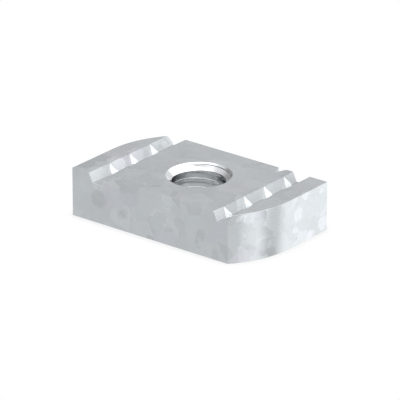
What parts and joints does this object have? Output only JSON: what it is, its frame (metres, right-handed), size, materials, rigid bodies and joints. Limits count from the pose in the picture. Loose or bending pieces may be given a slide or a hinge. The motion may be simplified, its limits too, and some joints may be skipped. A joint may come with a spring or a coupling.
{
  "type": "channel nut",
  "caption": "Flat steel nut with two toothed lip grooves, two turned corners and a countersunk threaded hole, for strut channel.",
  "frame": {"origin": "on the axis of the threaded hole, in the plane of the flat base", "axes": "+X along the nut's length, +Y across its width, +Z along the hole, out of the grooved face"},
  "size_m": [0.0344, 0.02, 0.008],
  "materials": {
    "galvanised_steel": "hot-dip galvanised, satin with a soft spangle"
  },
  "bodies": {
    "root": {"channel_nut": "galvanised_steel"}
  },
  "joints": []
}
